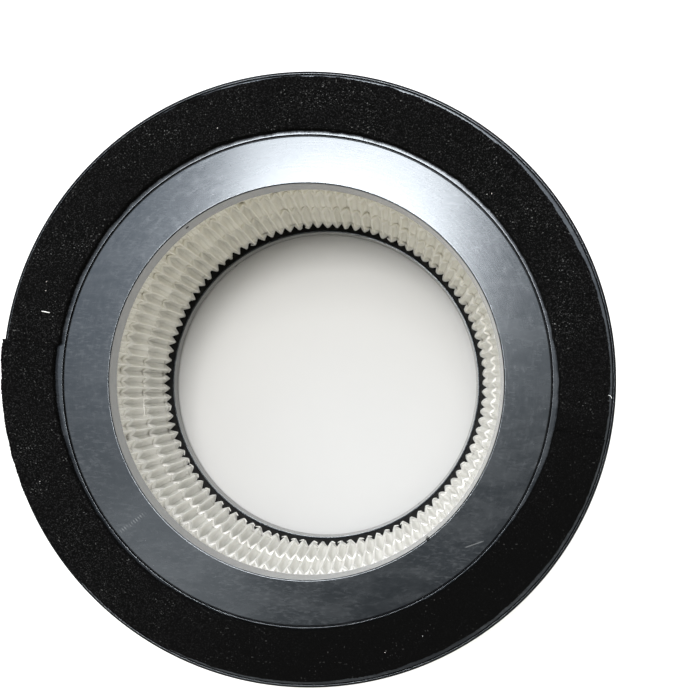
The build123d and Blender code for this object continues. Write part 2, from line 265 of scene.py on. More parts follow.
def cap_material():
    m, nt, b = new_mat("cap_plastic_satin")
    p, r, th, z = ring_coords(nt)
    # fine rubbed lines that run round the ring
    v1 = node(nt, "ShaderNodeCombineXYZ", {0: scaled(nt, r, 2600.0), 1: scaled(nt, th, 7.0), 2: scaled(nt, z, 900.0)})
    lines = noise(nt, v1.outputs[0], 1.0, 3.0, 0.6)
    v2 = node(nt, "ShaderNodeCombineXYZ", {0: scaled(nt, r, 700.0), 1: scaled(nt, th, 22.0), 2: scaled(nt, z, 300.0)})
    rubs = noise(nt, v2.outputs[0], 1.0, 4.0, 0.65)
    cloud = noise(nt, p, 46.0, 4.0, 0.6, 0.3)
    dust = noise(nt, p, 2100.0, 1.0, 0.4)
    specks = ramp(nt, dust, [(0.0, grey(0.0)), (0.79, grey(0.0)), (0.83, grey(1.0))])
    thin = ramp(nt, rubs, [(0.0, grey(0.0)), (0.60, grey(0.0)), (0.66, grey(0.5)), (0.74, grey(0.0))])
    base = ramp(nt, cloud, [(0.25, (0.0036, 0.0050, 0.0070)), (0.55, (0.0056, 0.0073, 0.0096)), (0.8, (0.0088, 0.0110, 0.0138))])
    worn = node(nt, "ShaderNodeMixRGB", {0: scaled(nt, thin, 0.16), 1: base}, in_2=(0.085, 0.088, 0.094, 1.0))
    # faint haze of wiping streaks, drawn across the ring
    v3 = node(nt, "ShaderNodeMapping", {0: p}, in_Rotation=(0.0, 0.0, 0.42), in_Scale=(430.0, 1250.0, 300.0))
    wiped = noise(nt, v3.outputs[0], 1.0, 3.0, 0.65)
    haze = product(nt, span(nt, wiped, 0.46, 0.72), span(nt, cloud, 0.35, 0.62, 0.25, 1.0))
    v4 = node(nt, "ShaderNodeMapping", {0: p}, in_Rotation=(0.0, 0.0, -0.6), in_Scale=(58.0, 150.0, 60.0))
    smear = span(nt, noise(nt, v4.outputs[0], 1.0, 4.0, 0.6, 0.4), 0.40, 0.66)
    misted = node(nt, "ShaderNodeMixRGB", {0: scaled(nt, smear, 0.13), 1: worn.outputs[0]}, in_2=(0.085, 0.09, 0.096, 1.0))
    hazy = node(nt, "ShaderNodeMixRGB", {0: scaled(nt, haze, 0.26), 1: misted.outputs[0]}, in_2=(0.085, 0.09, 0.096, 1.0))
    dust_and_gap_shade = node(nt, "ShaderNodeMixRGB", {0: scaled(nt, specks, 0.30), 1: hazy.outputs[0]}, in_2=(0.22, 0.225, 0.23, 1.0))
    # a scratch at the lower right, a speckled scuff at the lower left
    flat = span(nt, z, 0.0965, 0.0968)
    grain = noise(nt, p, 900.0, 2.0, 0.7)
    scratch = stroke(nt, p, (46.6, -48.0), (52.6, -45.85), 0.24)
    scuff = stroke(nt, p, (-55.4, -44.4), (-47.0, -38.2), 0.85)
    along = node(nt, "ShaderNodeVectorMath", {0: p}, operation="DOT_PRODUCT", in_1=(5600.0, 5000.0, 0.0)).outputs["Value"]
    ticks = span(nt, node(nt, "ShaderNodeMath", {0: along}, operation="SINE").outputs[0], 0.0, 0.8)
    spotted = product(nt, product(nt, scuff, ticks), span(nt, grain, 0.36, 0.62, 0.15, 1.0))
    marks = node(nt, "ShaderNodeMath", {0: scaled(nt, scratch, 0.40), 1: scaled(nt, spotted, 0.42)}, operation="ADD").outputs[0]
    marked = node(nt, "ShaderNodeMixRGB", {0: product(nt, marks, flat), 1: dust_and_gap_shade.outputs[0]}, in_2=(0.20, 0.205, 0.21, 1.0))
    # painted shade: the grooves, the slit by the lip, the patches round the two gate marks and the outer edge are
    # painted near black and given less specular, standing in for the shade in and round them
    ditch = product(nt, span(nt, r, 0.0710, 0.0712), product(nt, span(nt, z, 0.09672, 0.09688, 1.0, 0.0), span(nt, z, 0.0950, 0.0952)))
    edge = span(nt, r, 0.08925, 0.08945)
    slit = product(nt, product(nt, span(nt, r, 0.05788, 0.05791), span(nt, r, 0.05819, 0.05821, 1.0, 0.0)), product(nt, span(nt, z, 0.09683, 0.09688, 1.0, 0.0), span(nt, z, 0.0950, 0.0952)))
    near = [span(nt, node(nt, "ShaderNodeMath", {0: node(nt, "ShaderNodeMath", {0: th}, operation="SUBTRACT", in_1=a).outputs[0]}, operation="ABSOLUTE").outputs[0],
                 0.0075, 0.0105, 1.0, 0.0) for a in (2.2201, -0.9006)]
    upper = product(nt, product(nt, near[0], span(nt, r, 0.0582, 0.0583, 1.0, 0.0)), product(nt, span(nt, z, 0.0931, 0.0935), span(nt, z, 0.0950, 0.0954, 1.0, 0.0)))
    nick = product(nt, product(nt, near[1], span(nt, r, 0.0585, 0.0587, 1.0, 0.0)), span(nt, z, 0.0945, 0.0950))
    spots = node(nt, "ShaderNodeMath", {0: upper, 1: nick}, operation="MAXIMUM").outputs[0]
    sunk = node(nt, "ShaderNodeMath", {0: ditch, 1: spots}, operation="MAXIMUM").outputs[0]
    pits = node(nt, "ShaderNodeMath", {0: sunk, 1: slit}, operation="MAXIMUM").outputs[0]
    painted_shade_mask = node(nt, "ShaderNodeMath", {0: pits, 1: edge}, operation="MAXIMUM").outputs[0]
    # painted reflection: the collar wall inside the bore is painted light grey, lighter towards the right, for the pale
    # inside that it reflects and the light from the left
    wall = span(nt, r, 0.05778, 0.05790, 1.0, 0.0)
    rightward = node(nt, "ShaderNodeVectorMath", {0: p}, operation="DOT_PRODUCT", in_1=(0.94, -0.34, 0.0)).outputs["Value"]
    collar_painted_reflection = ramp(nt, span(nt, rightward, -0.03, 0.055), [(0.0, (0.155, 0.155, 0.150)), (1.0, (0.33, 0.33, 0.318))])
    with_collar_reflection = node(nt, "ShaderNodeMixRGB", {0: scaled(nt, wall, 0.9), 1: marked.outputs[0], 2: collar_painted_reflection})
    recess_painted_shade = node(nt, "ShaderNodeMixRGB", {0: scaled(nt, painted_shade_mask, 0.9), 1: with_collar_reflection.outputs[0]}, in_2=(0.0025, 0.0025, 0.0026, 1.0))
    nt.links.new(recess_painted_shade.outputs[0], b.inputs["Base Color"])
    nt.links.new(span(nt, painted_shade_mask, 0.0, 1.0, 0.5, 0.06), b.inputs["Specular IOR Level"])
    face = ramp(nt, rubs, [(0.2, grey(0.15)), (0.5, grey(0.17)), (0.8, grey(0.21))])
    inside = node(nt, "ShaderNodeMixRGB", {0: span(nt, r, 0.0578, 0.0581, 1.0, 0.0), 1: face}, in_2=(0.15, 0.15, 0.15, 1.0))
    nt.links.new(inside.outputs[0], b.inputs["Roughness"])
    b.inputs["IOR"].default_value = 1.55
    b.inputs["Specular Tint"].default_value = (0.87, 0.935, 1.0, 1.0)
    height = node(nt, "ShaderNodeMath", {0: lines, 1: scaled(nt, rubs, 0.6)}, operation="ADD")
    bump = node(nt, "ShaderNodeBump", {"Height": height.outputs[0]}, in_Strength=0.10, in_Distance=0.00006)
    nt.links.new(bump.outputs[0], b.inputs["Normal"])
    return m


def foam_material():
    m, nt, b = new_mat("gasket_sponge_black")
    p, r, th, z = ring_coords(nt)
    fine = noise(nt, p, 3000.0, 1.0, 0.6)
    dots = noise(nt, p, 2700.0, 0.5, 0.5)
    broad = noise(nt, p, 90.0, 3.0, 0.55)
    body = ramp(nt, fine, [(0.36, (0.0004, 0.0004, 0.0004)), (0.50, (0.0007, 0.0007, 0.0008)),
                           (0.59, (0.0023, 0.0023, 0.0024)), (0.69, (0.0150, 0.0150, 0.0153))])
    spark = ramp(nt, dots, [(0.0, grey(0.0)), (0.72, grey(0.0)), (0.80, grey(1.0))])
    k = product(nt, spark, span(nt, broad, 0.42, 0.66, 0.03, 0.95))
    speckled = node(nt, "ShaderNodeMixRGB", {0: k, 1: body}, in_2=(0.14, 0.14, 0.141, 1.0))
    # painted shade: the sponge is painted darker towards the lower right, the side away from the light
    lean = node(nt, "ShaderNodeVectorMath", {0: p}, operation="DOT_PRODUCT", in_1=(0.5, -0.866, 0.0)).outputs["Value"]
    col = node(nt, "ShaderNodeMixRGB", {0: span(nt, lean, 0.02, 0.075, 0.0, 0.92), 1: speckled.outputs[0]}, in_2=(0.0008, 0.0008, 0.0008, 1.0))
    # larger specks of lint, in loose clusters, painted fainter towards the lower right as shade
    flecks = product(nt, span(nt, noise(nt, p, 1650.0, 0.0), 0.755, 0.80), product(nt, span(nt, noise(nt, p, 120.0, 2.0, 0.5), 0.44, 0.64, 0.08, 0.9), span(nt, lean, 0.0, 0.06, 1.0, 0.4)))
    linty = node(nt, "ShaderNodeMixRGB", {0: flecks, 1: col.outputs[0]}, in_2=(0.07, 0.07, 0.068, 1.0))
    nt.links.new(linty.outputs[0], b.inputs["Base Color"])
    b.inputs["Roughness"].default_value = 0.95
    b.inputs["Specular IOR Level"].default_value = 0.06
    bump = node(nt, "ShaderNodeBump", {"Height": fine}, in_Strength=0.7, in_Distance=0.0003)
    nt.links.new(bump.outputs[0], b.inputs["Normal"])
    return m


def media_material():
    m, nt, b = new_mat("filter_media_fibre")
    p, r, th, z = ring_coords(nt)
    tall = node(nt, "ShaderNodeCombineXYZ", {0: scaled(nt, th, 900.0), 1: scaled(nt, z, 240.0), 2: scaled(nt, r, 300.0)})
    fibre = noise(nt, tall.outputs[0], 1.0, 3.0, 0.6, 0.5)
    cloud = noise(nt, p, 260.0, 3.0, 0.6)
    mix = node(nt, "ShaderNodeMath", {0: scaled(nt, fibre, 0.5), 1: scaled(nt, cloud, 0.5)}, operation="ADD")
    col = ramp(nt, mix.outputs[0], [(0.3, (0.882, 0.876, 0.843)), (0.5, (0.915, 0.910, 0.883)), (0.7, (0.940, 0.936, 0.914))])
    # painted shade: deep in the gaps the sheet is painted greyer, more so on the left, for the shade in the folds
    deep = span(nt, r, 0.0604, 0.0630)
    leftward = node(nt, "ShaderNodeVectorMath", {0: p}, operation="DOT_PRODUCT", in_1=(-1.0, 0.0, 0.0)).outputs["Value"]
    gap_shade_amount = product(nt, product(nt, deep, span(nt, z, 0.030, 0.046, 0.46, 0.46)), span(nt, leftward, -0.01, 0.05, 0.42, 1.0))
    patchy_gap_shade = product(nt, gap_shade_amount, span(nt, cloud, 0.3, 0.7, 0.8, 1.15))
    # painted shade: towards the top of the picture the sheet is painted a warmer cream, for the warm bounce light on
    # the walls that face away from the lamps
    upward = node(nt, "ShaderNodeVectorMath", {0: p}, operation="DOT_PRODUCT", in_1=(0.0, 1.0, 0.0)).outputs["Value"]
    warm_top_side_shade = node(nt, "ShaderNodeMixRGB", {0: span(nt, upward, -0.015, 0.055, 0.0, 0.75), 1: col}, in_2=(0.835, 0.815, 0.735, 1.0))
    dust_and_gap_shade = node(nt, "ShaderNodeMixRGB", {0: patchy_gap_shade, 1: warm_top_side_shade.outputs[0]}, in_2=(0.50, 0.50, 0.485, 1.0))
    # painted shade: the upper gaps on the left, under the collar, are painted greyer
    under = product(nt, product(nt, span(nt, z, 0.073, 0.079), span(nt, r, 0.0598, 0.0604)), span(nt, leftward, -0.005, 0.04, 0.0, 0.38))
    shaded = node(nt, "ShaderNodeMixRGB", {0: under, 1: dust_and_gap_shade.outputs[0]}, in_2=(0.52, 0.52, 0.505, 1.0))
    nt.links.new(shaded.outputs[0], b.inputs["Base Color"])
    b.inputs["Roughness"].default_value = 0.9
    b.inputs["Specular IOR Level"].default_value = 0.2
    bump = node(nt, "ShaderNodeBump", {"Height": fibre}, in_Strength=0.25, in_Distance=0.0002)
    nt.links.new(bump.outputs[0], b.inputs["Normal"])
    return m


def glue_material(name, low, mid, high):
    m, nt, b = new_mat(name)
    p, r, th, z = ring_coords(nt)
    cloud = noise(nt, p, 520.0, 3.0, 0.6)
    col = ramp(nt, cloud, [(0.3, low), (0.52, mid), (0.72, high)])
    # painted shade: the glue is painted a warmer cream towards the top of the picture, for the warm bounce light there
    upward = node(nt, "ShaderNodeVectorMath", {0: p}, operation="DOT_PRODUCT", in_1=(0.0, 1.0, 0.0)).outputs["Value"]
    above = product(nt, span(nt, upward, -0.015, 0.055, 0.0, 0.7), span(nt, z, 0.009, 0.014))
    warm_top_side_shade = node(nt, "ShaderNodeMixRGB", {0: above, 1: col}, in_2=(0.82, 0.80, 0.72, 1.0))
    nt.links.new(warm_top_side_shade.outputs[0], b.inputs["Base Color"])
    rough = ramp(nt, cloud, [(0.3, grey(0.30)), (0.75, grey(0.48))])
    nt.links.new(rough, b.inputs["Roughness"])
    b.inputs["IOR"].default_value = 1.48
    b.inputs["Specular IOR Level"].default_value = 0.16
    bump = node(nt, "ShaderNodeBump", {"Height": noise(nt, p, 1100.0, 2.0, 0.5)}, in_Strength=0.2, in_Distance=0.0002)
    nt.links.new(bump.outputs[0], b.inputs["Normal"])
    return m


def compound_material():
    m, nt, b = new_mat("sealing_compound_black")
    p, r, th, z = ring_coords(nt)
    n1 = noise(nt, p, 700.0, 3.0, 0.6)
    col = ramp(nt, n1, [(0.3, (0.0012, 0.0012, 0.0012)), (0.7, (0.0040, 0.0041, 0.0041))])
    nt.links.new(col, b.inputs["Base Color"])
    rough = ramp(nt, n1, [(0.3, grey(0.42)), (0.7, grey(0.66))])
    nt.links.new(rough, b.inputs["Roughness"])
    b.inputs["Specular IOR Level"].default_value = 0.1
    bump = node(nt, "ShaderNodeBump", {"Height": n1}, in_Strength=0.3, in_Distance=0.0003)
    nt.links.new(bump.outputs[0], b.inputs["Normal"])
    return m


def felt_material():
    m, nt, b = new_mat("carbon_cloth_felt")
    p, r, th, z = ring_coords(nt)
    n1 = noise(nt, p, 900.0, 4.0, 0.7)
    n2 = noise(nt, p, 150.0, 3.0, 0.6)
    mix = node(nt, "ShaderNodeMath", {0: scaled(nt, n1, 0.6), 1: scaled(nt, n2, 0.4)}, operation="ADD")
    col = ramp(nt, mix.outputs[0], [(0.3, (0.006, 0.006, 0.0065)), (0.55, (0.018, 0.018, 0.019)), (0.8, (0.045, 0.045, 0.047))])
    nt.links.new(col, b.inputs["Base Color"])
    b.inputs["Roughness"].default_value = 0.95
    b.inputs["Specular IOR Level"].default_value = 0.1
    bump = node(nt, "ShaderNodeBump", {"Height": n1}, in_Strength=0.7, in_Distance=0.0005)
    nt.links.new(bump.outputs[0], b.inputs["Normal"])
    return m


def net_material():
    m, nt, b = new_mat("prefilter_net_strand")
    p, r, th, z = ring_coords(nt)
    n1 = noise(nt, p, 1200.0, 3.0, 0.6)
    col = ramp(nt, n1, [(0.3, (0.018, 0.018, 0.020)), (0.7, (0.040, 0.040, 0.043))])
    nt.links.new(col, b.inputs["Base Color"])
    rough = ramp(nt, n1, [(0.3, grey(0.42)), (0.7, grey(0.6))])
    nt.links.new(rough, b.inputs["Roughness"])
    bump = node(nt, "ShaderNodeBump", {"Height": n1}, in_Strength=0.2, in_Distance=0.0002)
    nt.links.new(bump.outputs[0], b.inputs["Normal"])
    return m


def lint_material():
    m, nt, b = new_mat("lint_thread")
    p, r, th, z = ring_coords(nt)
    n1 = noise(nt, p, 3000.0, 2.0, 0.6)
    col = ramp(nt, n1, [(0.3, (0.55, 0.55, 0.54)), (0.7, (0.88, 0.88, 0.87))])
    nt.links.new(col, b.inputs["Base Color"])
    b.inputs["Roughness"].default_value = 0.8
    return m


def floor_material():
    m, nt, b = new_mat("floor_pale")
    tc = node(nt, "ShaderNodeTexCoord")
    n1 = noise(nt, tc.outputs["Object"], 9.0, 3.0, 0.5)
    # painted shade: the floor under the bore is painted darker than the open floor, for the lower light inside the
    # cartridge
    inner = ramp(nt, n1, [(0.3, (0.465, 0.465, 0.463)), (0.7, (0.48, 0.48, 0.478))])
    away = node(nt, "ShaderNodeVectorMath", {0: tc.outputs["Object"]}, operation="LENGTH").outputs["Value"]
    col = node(nt, "ShaderNodeMixRGB", {0: span(nt, away, 0.06, 0.09), 1: inner}, in_2=(0.80, 0.80, 0.798, 1.0))
    nt.links.new(col.outputs[0], b.inputs["Base Color"])
    b.inputs["Roughness"].default_value = 0.6
    b.inputs["Specular IOR Level"].default_value = 0.25
    return m


CAP, FOAM, MEDIA = cap_material(), foam_material(), media_material()
GLUE = glue_material("separator_glue_melt", (0.77, 0.765, 0.74), (0.825, 0.82, 0.80), (0.865, 0.862, 0.845))
LIP = glue_material("separator_glue_drawn", (0.76, 0.755, 0.72), (0.81, 0.805, 0.78), (0.85, 0.85, 0.832))
COMPOUND, FELT, NET, LINT = compound_material(), felt_material(), net_material(), lint_material()

# ---------------------------------------------------------------------- caps
# (radius, depth below the flat face, corner round)
lip = [(57.86 - 0.16 * math.cos(q), 0.16 - 0.16 * math.sin(q), 0.0) for q in np.radians((0, 22, 45, 68, 88))]
FLANGE = [
    (71.4, 0.0, 0.08), (71.55, 0.9, 0.06), (71.85, 0.9, 0.06), (72.0, 0.0, 0.08), (88.8, 0.0, 0.06),
    (88.9, 0.9, 0.05), (89.15, 0.9, 0.05), (89.25, 0.0, 0.08), (90.0, 0.0, 0.5),
    (90.0, 10.0, 0.5), (88.8, 10.0, 0.15), (88.8, 1.6, 0.2), (58.7, 1.6, 0.2),
    (58.7, 7.4, 0.05), (58.3, 8.0, 0.10),
]
roll = [(58.33 - 0.55 * math.sin(q), 0.55 - 0.55 * math.cos(q), 0.0) for q in np.radians((15, 12, 9, 6, 3, 0))]
UPPER = [(57.7, 8.0, 0.12), *lip, (57.90, 0.02, 0.0), (57.95, 0.9, 0.03), (58.15, 0.9, 0.03), (58.18, 0.07, 0.02), *roll] + FLANGE
LOWER = [(57.7, 8.0, 0.25), (57.7, 1.3, 0.3), (58.6, 0.0, 0.2)] + FLANGE


def cap_ring(section):
    """The closed section of a cap; long straight runs get a point near each end, so that they shade flat."""
    p = rounded([(r, d) for r, d, _ in section], [c for _, _, c in section], 4)
    out = []
    for a, b in zip(p, np.roll(p, -1, 0)):
        out.append(a)
        run = np.linalg.norm(b - a)
        if run > 1.0:
            out += [a + (b - a) * 0.12 / run, b - (b - a) * 0.12 / run]
    return np.array(out)


GATES = (127.2, 308.4)    # two small sunk marks in the collar wall


def sink_gates(o, z):
    """Cut the two round marks into a cap's collar; their insides take the black compound material, painted shade for
    the dark in the small holes.
    """
    cv, cf, at = [], [], 0
    sides = 20
    q = np.arange(sides) * TAU / sides
    for deg in GATES:
        t = math.radians(deg)
        for rr in (56.9, 58.2):
            cv.append(np.stack([
                rr * math.cos(t) - 0.5 * np.cos(q) * math.sin(t),
                rr * math.sin(t) + 0.5 * np.cos(q) * math.cos(t),
                z + 0.5 * np.sin(q),
            ], -1))
        i = np.arange(sides)
        j = (i + 1) % sides
        cf += [np.stack([at + i, at + j, at + sides + j, at + sides + i], 1), at + i[::-1], at + sides + i]
        at += 2 * sides
    me = bpy.data.meshes.new("gate_cut")
    me.from_pydata((np.concatenate(cv) * MM).tolist(), [], [list(map(int, r)) for f in cf for r in (f if f.ndim == 2 else [f])])
    # painted shade: the holes' insides take the black compound material
    me.materials.append(COMPOUND)
    cut = bpy.data.objects.new("gate_cut", me)
    bpy.context.scene.collection.objects.link(cut)
    mod = o.modifiers.new("gates", "BOOLEAN")
    mod.operation, mod.solver, mod.object, mod.material_mode = "DIFFERENCE", "EXACT", cut, "TRANSFER"
    dg = bpy.context.evaluated_depsgraph_get()
    done = bpy.data.meshes.new_from_object(o.evaluated_get(dg))
    done.name = o.data.name + "_cut"
    o.modifiers.clear()
    o.data = done
    bpy.data.objects.remove(cut)


ring = cap_ring(UPPER)
v, f = lathe(np.stack([ring[:, 0], PLANE_H - ring[:, 1]], 1), 512)
sink_gates(obj_from("cap_top", v, [f], CAP, ["top_end_cap"], sharp=34), PLANE_H - 2.7)
v, f = lathe(cap_ring(LOWER), 320)
sink_gates(obj_from("cap_bottom", v, [f], CAP, ["bottom_end_cap"], sharp=34), 2.7)

# ------------------------------------------------------------- folded media
ROWS = 23
zs = np.linspace(MEDIA_Z[0], MEDIA_Z[1], ROWS)
tip_da0 = rng.normal(0, 0.11, PLEATS)
tip_dr0 = np.abs(rng.normal(0, 0.07, PLEATS))
tip_ph = rng.uniform(0, TAU, (PLEATS, 3))
tip_am = rng.normal(0, 0.07, (PLEATS, 3))
notch = rng.normal(0, 0.22, PLEATS)
# bore side of one half fold: radius and distance from the fold's middle; at the end the two flanks run side by side
HALF_R = np.array([59.70, 59.74, 59.90, 60.60, 61.80, 62.90, 63.55, 63.80, 83.95])
HALF_S = np.array([0.0, 0.15, 0.26, 0.36, 0.52, 0.80, 1.25, 63.80 * PITCH / 2 - 0.012, 83.95 * PITCH / 2 - 0.10])
DEPTH = np.array([0.22, 0.18, 0.20, 0.25, 0.25, 0.25, 0.25, 0.25, 0.25])     # sheet behind each point
DRIFT = np.array([1.0, 1.0, 1.0, 0.9, 0.7, 0.4, 0.15, 0.0, 0.0])     # how much of a fold's drift a point takes
SINK = np.array([1.0, 1.0, 1.0, 0.6, 0.3, 0.1, 0.0, 0.0, 0.0])
DEEP = np.array([0.0, 0.0, 0.0, 0.1, 0.4, 0.8, 1.0, 1.0, 0.0])       # how much of a gap's depth it takes


def tip_shift(z):
    """Sideways and outward drift of each inner fold at a height, in millimetres."""
    t = (z - MEDIA_Z[0]) / (MEDIA_Z[1] - MEDIA_Z[0])
    side = tip_da0.copy()
    for h, k in enumerate((1.0, 2.3, 4.1)):
        side = side + tip_am[:, h] * np.sin(TAU * k * t + tip_ph[:, h])
    out = tip_dr0 + 0.05 + 0.05 * np.sin(TAU * 1.7 * t + tip_ph[:, 0])
    return side, out


fold_turn = FOLD0 + np.arange(PLEATS) * PITCH
fuller = 0.5 + 0.5 * np.cos(fold_turn - math.radians(50.0))     # 1 at the upper right, 0 at the lower left
lobed = np.clip(np.cos(fold_turn - math.radians(22.0)), 0.0, 1.0)     # rounder glue ends on the right


def fill(z):
    """How far each gap's bottom comes towards the bore at a height, in millimetres."""
    rows = float(np.interp(z, (4.5, 11, 16, 25, 37, 40, 46, 55, 65, 69, 75, 93), (1.75, 1.7, 1.0, 0.0, 0.3, 1.75, 1.6, 0.2, 0.3, 1.7, 1.9, 2.1)))
    return np.clip(rows + 1.25 * fuller, 0.0, 2.25)


def fold_line(z):
    """Bore side of the folded sheet at a height: (points, vectors to the other side)."""
    side, out = tip_shift(z)
    shallow = notch - fill(z)
    line, deep = [], []
    for k in range(PLEATS):
        j = (k + 1) % PLEATS
        for fold, sgn, order in ((k, 1.0, 1), (j, -1.0, -1)):
            a = FOLD0 + fold * PITCH
            r = HALF_R + SINK * out[fold] + DEEP * shallow[k]
            ang = a + (sgn * HALF_S + DRIFT * side[fold]) / r
            xy = np.stack([r * np.cos(ang), r * np.sin(ang)], 1)[::order]
            line += list(xy if order == 1 else xy[:-1])
            deep += list(DEPTH if order == 1 else DEPTH[::-1][:-1])
            if order == 1:
                b = a + PITCH / 2
                line.append(np.array([84.06 * math.cos(b), 84.06 * math.sin(b)]))
                deep.append(MEDIA_T)
    line = np.array(line)
    t = np.roll(line, -1, 0) - np.roll(line, 1, 0)
    t /= np.linalg.norm(t, axis=1)[:, None]
    return line, np.stack([t[:, 1], -t[:, 0]], 1) * np.array(deep)[:, None]


bore_side, back_side = [], []
for z in zs:
    line, through = fold_line(z)
    for lst, xy in ((bore_side, line), (back_side, line + through)):
        lst.append(np.column_stack([xy, np.full(len(xy), z)]))
cols = len(bore_side[0])
n_side = ROWS * cols
top_edge = np.arange(cols) + (ROWS - 1) * cols
low_edge = np.arange(cols)
nx = np.roll(np.arange(cols), -1)
rim_top = np.stack([top_edge, n_side + top_edge, n_side + top_edge[nx], top_edge[nx]], 1)
rim_low = np.stack([low_edge[nx], n_side + low_edge[nx], n_side + low_edge, low_edge], 1)
pack = obj_from(
    "pleat_pack",
    np.concatenate(bore_side + back_side),
    [grid_faces(ROWS, cols, False, True), grid_faces(ROWS, cols, False, True, base=n_side, flip=True), rim_top, rim_low],
    MEDIA, ["hepa_pleat_pack"], sharp=75,
)
media_length = float(np.linalg.norm(np.roll(fold_line(48.5)[0], -1, 0) - fold_line(48.5)[0], axis=1).sum()) * MM

# ---------------------------------------------------------------- glue rows
BEADS = [
    # name, node, glue on a fold (top, low), glue in mid gap (top, low), how far it sinks in between, lip radius
    ("bead_bottom", "inner_glue_bead_bottom", (13.6, 7.2), (9.2, 7.5), 2.35, 0.17),
    ("bead_middle", "inner_glue_bead_middle", (42.8, 38.0), (42.0, 40.6), 2.3, 0.10),
    ("bead_top", "inner_glue_bead_top", (71.0, 66.2), (70.4, 68.4), 1.9, 0.09),
]
STEPS = 20


def media_face(ang):
    """Radius of the sheet's bore side at an angle from the nearest inner fold."""
    return np.interp(ang, HALF_S / HALF_R, HALF_R)


def per_fold(values, w):
    """Values of the folds, blended along each gap."""
    return (values[:, None] * (1 - w) + np.roll(values, -1)[:, None] * w).ravel()


for name, cad, (tip_top, tip_low), (gap_top, gap_low), recess, lip_radius in BEADS:
    mid_z = 0.5 * (tip_top + tip_low)
    side, out = tip_shift(mid_z)
    ang = FOLD0 + np.arange(PLEATS) * PITCH + side / FOLD_R
    nxt = np.append(ang[1:], ang[0] + TAU)
    w = np.arange(STEPS) / STEPS
    phi = (ang[:, None] + w[None, :] * (nxt - ang)[:, None]).ravel()
    near = np.minimum(w, 1 - w)
    t = np.broadcast_to(1 - 2 * near, (PLEATS, STEPS)).ravel()          # 1 on a fold, 0 in mid gap
    off = np.broadcast_to(near, (PLEATS, STEPS)).ravel() * np.repeat(nxt - ang, STEPS)
    dr = per_fold(out, w)
    gap_lift = np.repeat(rng.normal(0, 0.35, PLEATS) * (1.0 if tip_low > 8 else 0.3), STEPS)
    lump = np.repeat(np.clip(rng.normal(1.0, 0.12, PLEATS), 0.75, 1.2), STEPS)
    low = per_fold(rng.normal(0, 0.35, PLEATS) * (1.0 if tip_low > 8 else 0.4), w)
    skin = per_fold(np.clip(rng.normal(0.0, 0.05, PLEATS), -0.1, 0.1), w)
    round_off = 1 - (1 - t) ** (1.1 + 0.7 * np.repeat(lobed, STEPS))
    zt = gap_top + (tip_top - gap_top) * t + gap_lift * (1 - t) * 0.6 + 0.15 * np.sin(phi * 37.0)
    zb = gap_low + gap_lift * (1 - t) + (tip_low - gap_low) * round_off + low * t
    full = np.repeat(lobed, STEPS)
    rf = 59.47 + dr + skin + recess * (1.0 - 0.30 * full) * lump * (1 - t) ** (1.15 + 0.7 * full)
    rb = np.minimum(media_face(off) + dr, 63.6 - np.repeat(fill(mid_z), STEPS)) + 0.12
    rb = np.maximum(rb, rf + 0.12)
    gap = np.clip((rb - rf) / 2.0, 0.05, 1.0)
    sec = [
        (rb, zt - 0.25),
        (rf + 0.45 * gap, zt),
        (rf + 0.12 * gap, zt - 0.18),
        (rf, zt - 0.6),
        (rf + 0.03, 0.5 * (zt + zb)),
        (rf - 0.02, zb + 0.55),
        (rf + 0.02, zb + 0.16),
        (rf + 0.16 * gap + 0.03, zb),
        (rf + 0.50 * gap + 0.03, zb + 0.22),
        (rb, np.minimum(zb + 0.5, zt - 0.5)),
    ]
    m = len(sec)
    v = np.stack([np.stack([r * np.cos(phi), r * np.sin(phi), z + 0 * r], -1) for r, z in sec], 1)
    obj_from(name, v.reshape(-1, 3), [grid_faces(PLEATS * STEPS, m, True, True, flip=True)], GLUE, [cad])
    # the thin drawn edge along the bottom of the row
    path = np.stack([(rf + 0.04) * np.cos(phi), (rf + 0.04) * np.sin(phi), zb + lip_radius * 0.7], -1)
    thick = lip_radius * (1.0 + 0.3 * np.sin(phi * 61.0 + mid_z) * np.sin(phi * 17.0) + 0.15 * np.sin(phi * 143.0))
    lv, lf = tube(path, thick, 6, True)
    obj_from(name + "_edge", lv, lf, LIP)

# ------------------------------------------------------------- sponge gasket
def seam_angle(r, shift, right):
    """Angle at which radius r meets a seam line, moved by shift in Y."""
    (x0, y0), (x1, y1) = ((40.0, -7.5), (120.0, -22.5)) if right else ((-120.0, 17.2), (-40.0, 6.8))
    lo, hi = (0.0, 1.0)
    inside_first = math.hypot(x0, y0) < math.hypot(x1, y1)
    for _ in range(50):
        mid = (lo + hi) / 2
        x, y = x0 + (x1 - x0) * mid, y0 + (y1 - y0) * mid + shift
        if (math.hypot(x, y) < r) == inside_first:
            lo = mid
        else:
            hi = mid
    return math.atan2(y, x)


INNER_EDGE = [  # angle, radius of the sponge's bore-side edge
    (-20, 73.30), (-10.9, 73.45), (-10.3, 73.60), (0, 73.55), (6, 73.2), (12, 72.85), (25, 72.75), (40, 72.85),
    (52, 73.10), (90, 73.05), (130, 73.15), (168, 73.10), (170.9, 73.12), (171.6, 74.05), (182, 73.95), (190, 73.45),
    (200, 72.90), (215, 72.70), (232, 72.66), (245, 72.32), (280, 72.22), (318, 72.30), (330, 72.60), (340, 73.30),
    (349.1, 73.45), (349.7, 73.60),
]


